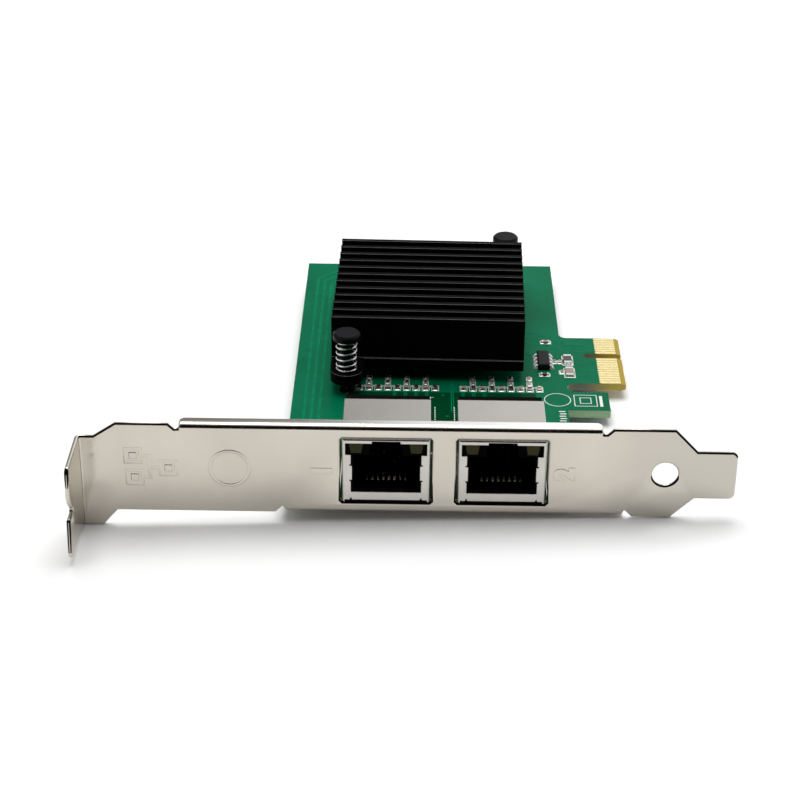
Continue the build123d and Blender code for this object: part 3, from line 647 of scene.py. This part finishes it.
def copperRuns():
    top, bottom = Shape(), Shape()
    width = runs["width"]
    high = (0.0, runs["height"])
    low = (boardBottom - runs["height"], boardBottom)
    # pairs from the edge contacts to the controller
    for index, (pair, reach) in enumerate(runs["pairs"]):
        for side in (-1, 1):
            start = pair + side * runs["halfGap"]
            end = runs["chipY"] + index * runs["chipPitch"] + side * runs["halfGap"]
            turnX = -reach + side * runs["stagger"]
            top.strip([(runs["edgeX"], start), (turnX, start), (turnX - abs(end - start), end),
                       (runs["topEndX"], end)], width, *high)
            turnX = -reach - runs["lowLater"]
            bottom.strip([(runs["edgeX"], start), (turnX, start), (turnX - abs(end - start), end),
                          (runs["lowEndX"], end)], width, *low)
    # four pairs from each jack
    for middle in jackMiddles:
        for index in range(jackRuns["count"]):
            outward = index - (jackRuns["count"] - 1) / 2
            x = middle + outward * jackRuns["pitch"] + jackRuns["pinch"] * (1 if index % 2 == 0 else -1)
            end = jackRuns["endMiddle"] + (x - middle) * jackRuns["gather"]
            end += (middle - jackRuns["cardMiddle"]) * jackRuns["lean"]
            turnY = jackRuns["turnY"] + abs(outward) * jackRuns["turnStep"]
            for shape, (startY, endY), later, level in ((top, jackRuns["topY"], 0, high),
                                                        (bottom, jackRuns["lowY"], runs["lowLater"], low)):
                shape.strip([(x, startY), (x, turnY + later), (end, turnY + later + abs(end - x)), (end, endY)],
                            width, *level)
    # wide feeds along the rear and the left
    for shape, feed, level in ((top, feeds["top"], high), (bottom, feeds["low"], low)):
        for index, x in enumerate(feeds["left"]):
            rearY = feed["rearY"] - index * feeds["rearStep"]
            shape.strip([(x, feed["frontY"] - index), (x, feed["turnY"] - index * feeds["turnStep"]),
                         (x + feed["cut"] - index, rearY), (feeds["endX"] - index * feeds["endStep"], rearY)],
                        feed["width"], *level)
    top.piece("copper_runs_top", traceGreen, "board_green")
    bottom.piece("copper_runs_bottom", traceGreen, "board_green")


copperRuns()


# each zone has two corners, how many vias it holds, and the gap that they keep
viaLook = {"seed": 11, "tries": 900, "radius": 0.32, "bore": 0.16, "boreOver": 0.01, "rise": 0.03, "boreRise": 0.015,
           "smooth": 30,
           "zones": (((-66.5, -40), (-60.5, 40), 14, 3.0), ((-20.5, -20), (-13.8, 40), 16, 2.6),
                     ((-58, -31), (-22, -16), 24, 2.4), ((-12, -9), (-7.5, 7.5), 6, 2.0))}


def vias():
    # small plated holes under the mask: a raised ring round a dark bore
    rims, bores = Shape(), Shape()
    random.seed(viaLook["seed"])
    spots = []
    for (x0, y0), (x1, y1), count, gap in viaLook["zones"]:
        tries = 0
        wanted = len(spots) + count
        while len(spots) < wanted and tries < viaLook["tries"]:
            tries += 1
            spot = (random.uniform(x0, x1), random.uniform(y0, y1))
            if all(math.dist(spot, other) > gap for other in spots):
                spots.append(spot)
    wide, low, high = viaLook["bore"] + viaLook["boreOver"], boardBottom - viaLook["boreRise"], viaLook["boreRise"]
    for spot in spots:
        for level in ((0.0, viaLook["rise"]), (boardBottom - viaLook["rise"], boardBottom)):
            rims.frame(circle(spot, viaLook["radius"], 16), circle(spot, viaLook["bore"], 16), *level)
        bores.turned([(0, low), (wide, low), (wide, high), (0, high)], spot, 12)
    rims.piece("via_rims", traceGreen, "board_green", viaLook["smooth"])
    bores.piece("via_bores", chipEpoxy, "chip_black", viaLook["smooth"])


vias()
print("copper made")


# White print on the board: plain outlines and marks

ink = {"line": 0.16, "fine": 0.11, "height": 0.035, "partMargin": 0.24, "bodyShare": 0.6,
       "boxes": {"crystal": (1.4, 0.6), "regulators": (1.0, 5.6), "tantalum_capacitors": (1.0, 1.0)},
       "jackBox": (8.6, -57.0, -41.2)}
earInk = {"ring": ((-14.35, -19.3), 2.7), "boxes": (((-8.75, -19.5), (4.3, 4.4)), ((-8.75, -19.5), (2.0, 2.2))),
          "bar": ((-5.65, -19.7), (0.6, 4.4)), "ticks": 5, "tickPlace": (-13.7, -26.0), "tickSize": (1.3, 0.34),
          "tickPitch": 0.95, "tickShift": 0.15}
rowInk = {"ticks": 16, "shift": 1.02, "pitch": 0.96, "rows": ((-19.1, 0.75), (-14.4, 0.6)), "tickWidth": 0.143,
          "bar": ((0.42, 0.1), (0.5, 0.11))}
dashInk = {"places": (-38.94, -35.1), "count": 6, "from": -28.0, "pitch": 0.95, "size": (0.2, 0.55)}


def boardPrint():
    shape = Shape()
    level = (0.0, ink["height"])

    def outlined(middle, size, line=ink["line"]):
        shape.frame(oblong(middle, grown(size, line)), oblong(middle, size), *level)

    def filled(middle, size):
        shape.slab(oblong(middle, size), *level)

    for node, (wider, deeper) in ink["boxes"].items():
        for middle, (wide, deep), height in solids(node):
            outlined(middle, (wide + wider, deep + deeper))
    # plain marks on the ear
    middle, radius = earInk["ring"]
    shape.frame(circle(middle, radius, 40), circle(middle, radius - ink["line"], 40), *level)
    for middle, size in earInk["boxes"]:
        outlined(middle, size)
    x, y = earInk["tickPlace"]
    for index in range(earInk["ticks"]):
        along = (index - (earInk["ticks"] - 1) / 2) * earInk["tickPitch"]
        filled((x + earInk["tickShift"] * (index % 2), y + along), earInk["tickSize"])
    filled(*earInk["bar"])
    # a box round each small part, whose solid here is the body between its ends
    for node in ("resistors", "capacitors"):
        for middle, (wide, deep), height in solids(node):
            if wide > deep:
                wide /= ink["bodyShare"]
            else:
                deep /= ink["bodyShare"]
            outlined(middle, grown((wide, deep), ink["partMargin"]), ink["fine"])
    half, frontY, rearY = ink["jackBox"]
    for middle in jackMiddles:
        left, right = middle - half, middle + half
        corners = [(left, frontY), (left, rearY), (right, rearY), (right, frontY)]
        shape.strip(corners, ink["line"], *level)
        for index in range(rowInk["ticks"]):
            x = middle + rowInk["shift"] + (index - (rowInk["ticks"] - 1) / 2) * rowInk["pitch"]
            (barX, barY), barSize = rowInk["bar"]
            for y, deep in rowInk["rows"]:
                filled((x, y), (rowInk["tickWidth"], deep))
                filled((x + barX, y + barY), barSize)
    # under the board, only the second jack has its outline
    for first, second in zip(corners, corners[1:] + corners[:1]):
        shape.strip([first, second], ink["line"], boardBottom - ink["height"], boardBottom)
    for x in dashInk["places"]:
        for index in range(dashInk["count"]):
            filled((x, dashInk["from"] + index * dashInk["pitch"]), dashInk["size"])
    shape.piece("board_print", printWhite, "board_green")


boardPrint()


# Plain raised marks on the bracket: port numbers, a sign of joined boxes and a ring

numbers = {"places": ((-59.6, 6.4), (-15.5, 6.4)), "size": 4.6, "extrude": 0.02, "bevel": 0.2, "offset": 0.2,
           "flatten": 0.42, "smoothness": 4}
signs = {"boxes": ((-94.0, 9.1), (-93.8, 4.6), (-87.6, 6.6)), "boxSize": 3.4, "innerShare": 0.42, "trunk": 3.0,
         "ring": ((-76.5, 6.7), 3.9), "ringSteps": 56, "rise": 0.085, "levelShare": 0.9, "line": 0.62,
         "slope": 0.2, "smooth": 40}
upright = Matrix.Translation((0, jackFront * mm, 0)) @ Matrix.Rotation(math.radians(90), 4, "X")


def raisedNumber(text, place):
    curve = bpy.data.curves.new("number_" + text, "FONT")
    curve.body, curve.size, curve.resolution_u = text, numbers["size"] * mm, numbers["smoothness"]
    curve.align_x, curve.align_y = "CENTER", "CENTER"
    curve.extrude, curve.bevel_depth = numbers["extrude"] * mm, numbers["bevel"] * mm
    curve.offset = numbers["offset"] * mm
    flat = bpy.data.objects.new("number", curve)
    bpy.context.scene.collection.objects.link(flat)
    flat.matrix_world = upright @ Matrix.Translation((place[0] * mm, place[1] * mm, 0)) \
        @ Matrix.Rotation(math.radians(90), 4, "Z") @ Matrix.Diagonal((1, 1, numbers["flatten"], 1))
    bpy.context.view_layer.update()
    data = bpy.data.meshes.new_from_object(flat.evaluated_get(bpy.context.evaluated_depsgraph_get()))
    data.transform(flat.matrix_world)
    bpy.data.objects.remove(flat)
    addPiece("port_number_" + text, data, markNickel)


def raisedSigns():
    # every line is a low ridge with sloped sides
    shape = Shape()
    line, slope, rise = signs["line"], signs["slope"], signs["rise"]

    def ridge(outline, size):
        # a closed line round a middle, given by its shape at any size
        sizes = (size, size - 2 * slope, size - 2 * line + 2 * slope, size - 2 * line)
        loops = [shape.loop([(x, y, height) for x, y in outline(wide)])
                 for wide, height in zip(sizes, (0, rise, rise, 0))]
        for lower, upper in zip(loops, loops[1:] + loops[:1]):
            shape.walls(lower, upper)

    def mound(middle, size, margin, high):
        shape.stack([[(x, y, z) for x, y in oblong(middle, grown(size, -margin * z / high))] for z in (0, high)])

    boxSize = signs["boxSize"]
    for middle in signs["boxes"]:
        ridge(lambda wide: oblong(middle, (wide, wide)), boxSize)
        mound(middle, (boxSize * signs["innerShare"],) * 2, slope / 2, rise)
    # the level lines are lower than the upright one that they meet, so no faces lie in one plane
    (leftX, highY), (lowX, lowY), (rightX, middleY) = signs["boxes"]
    reach, trunk = boxSize / 2, leftX + signs["trunk"]
    for (x0, y0), (x1, y1) in (((leftX + reach, highY), (trunk, highY)), ((lowX + reach, lowY), (trunk, lowY)),
                               ((trunk, lowY), (trunk, highY)), ((trunk, middleY), (rightX - reach, middleY))):
        high = rise * (signs["levelShare"] if y1 == y0 else 1)
        mound(((x0 + x1) / 2, (y0 + y1) / 2), (x1 - x0 + line, y1 - y0 + line), slope, high)
    middle, radius = signs["ring"]
    ridge(lambda wide: circle(middle, wide / 2, signs["ringSteps"]), 2 * radius)
    bmesh.ops.transform(shape.mesh, matrix=upright, verts=shape.mesh.verts)
    shape.piece("raised_signs", markNickel, "bracket_steel", signs["smooth"])


for text, place in zip("12", numbers["places"]):
    raisedNumber(text, place)
raisedSigns()
print("print made")


# Floor, light and camera

ground = {"size": 6000, "slopeX": 0.0295, "slopeY": -0.0128, "through": (3.9, -59.05, -2.63), "drop": 0.05,
          "color": 0.90, "glow": 0.03}


def floor():
    # a plane through the lowest points that the card stands on, a little below them
    x0, y0, z0 = ground["through"]
    shape = bmesh.new()
    corners = []
    for x, y in oblong((0, 0), (ground["size"],) * 2):
        z = z0 - ground["drop"] + ground["slopeX"] * (x - x0) + ground["slopeY"] * (y - y0)
        corners.append(shape.verts.new(Vector((x, y, z)) * mm))
    shape.faces.new(corners)
    data = bpy.data.meshes.new("floor")
    shape.to_mesh(data)
    shape.free()
    made = bpy.data.objects.new("floor", data)
    bpy.context.scene.collection.objects.link(made)
    material = bpy.data.materials.new("paleFloor")
    material.use_nodes = True
    paper = NodeSet(material.node_tree)
    dull = paper.node("BsdfDiffuse", sockets={"Color": (ground["color"],) * 3})
    glow = paper.node("Emission", sockets={"Color": (1, 1, 1), "Strength": ground["glow"]})
    rays = paper.node("LightPath").socket.node.outputs
    seen = Wire(paper, rays["Is Camera Ray"]).largest(Wire(paper, rays["Is Glossy Ray"])).largest(
        Wire(paper, rays["Is Transmission Ray"]))
    both = paper.node("AddShader", sockets={0: dull, 1: glow})
    shown = paper.node("MixShader", sockets={0: seen, 1: dull, 2: both})
    output = paper.tree.nodes.new("ShaderNodeOutputMaterial")
    paper.tree.links.new(shown.socket, output.inputs["Surface"])
    data.materials.append(material)


floor()

sky = {"left": 0.28, "right": 0.86, "rightSpan": (-0.05, 0.035), "farRight": 0.3, "farSpan": (0.07, 0.12),
       "high": 0.87, "highSpan": (0.45, 0.70), "frontDark": 0.005, "frontSpan": (-0.1, -0.35),
       "bandSpan": (0.93, 0.87)}


def world():
    # white to the camera and above to what reflects it, greyer low at the left, and dark in front, which the folds
    # of the sheet pick up
    light = bpy.data.worlds.new("studio")
    bpy.context.scene.world = light
    light.use_nodes = True
    made = NodeSet(light.node_tree)
    x, y, z = made.parts(made.node("TexCoord", out="Generated"))
    front = made.ramp(y, *sky["frontSpan"]) * made.ramp(z, *sky["bandSpan"])
    rays = made.node("LightPath").socket.node.outputs
    low = made.ramp(x, *sky["rightSpan"], sky["left"], sky["right"])
    low = low + made.ramp(x, *sky["farSpan"], 0, sky["farRight"])
    high = Wire(made, rays["Is Glossy Ray"]) * (1 - sky["high"]) + sky["high"]
    level = made.ramp(z, *sky["highSpan"], low, high)
    level = level - front * (level - sky["frontDark"])
    seen = Wire(made, rays["Is Camera Ray"]).largest(Wire(made, rays["Is Transmission Ray"]))
    strength = seen + (1 - seen) * level
    back = made.node("Background", sockets={"Color": (1, 1, 1), "Strength": strength})
    output = made.tree.nodes.new("ShaderNodeOutputWorld")
    made.tree.links.new(back.socket, output.inputs["Surface"])


world()

lamps = {
    "above": {"place": (-75, 190, 840), "aim": (-45, -10, 0), "size": 0.58, "watts": 5.4},
    "left": {"place": (-900, -250, 600), "aim": (-45, -20, 0), "size": 0.7, "watts": 1.0},
}
for name, lamp in lamps.items():
    light = bpy.data.lights.new(name, "AREA")
    light.size, light.energy = lamp["size"], lamp["watts"]
    made = bpy.data.objects.new(name, light)
    bpy.context.scene.collection.objects.link(made)
    spot, aim = Vector(lamp["place"]) * mm, Vector(lamp["aim"]) * mm
    made.matrix_world = Matrix.Translation(spot) @ (aim - spot).to_track_quat("-Z", "Y").to_matrix().to_4x4()

lens = {"eye": (-43.206, -372.787, 193.644), "rise": 28.776, "yaw": 0.443, "roll": 0.558, "length": 90.43,
        "sensor": 36, "clip": (0.01, 20)}


def camera():
    rise, yaw, roll = (math.radians(lens[part]) for part in ("rise", "yaw", "roll"))
    ahead = Vector((-math.sin(yaw) * math.cos(rise), math.cos(yaw) * math.cos(rise), -math.sin(rise)))
    right = Vector((math.cos(yaw), math.sin(yaw), 0))
    top = right.cross(ahead)
    turnedRight = right * math.cos(roll) + top * math.sin(roll)
    turnedTop = top * math.cos(roll) - right * math.sin(roll)
    data = bpy.data.cameras.new("camera")
    data.lens, data.sensor_width = lens["length"], lens["sensor"]
    data.clip_start, data.clip_end = lens["clip"]
    made = bpy.data.objects.new("camera", data)
    bpy.context.scene.collection.objects.link(made)
    axes = Matrix((turnedRight, turnedTop, -ahead)).transposed().to_4x4()
    made.matrix_world = Matrix.Translation(Vector(lens["eye"]) * mm) @ axes
    bpy.context.scene.camera = made


camera()
bpy.context.scene.view_settings.view_transform = "Standard"
print("stage, light and camera set")
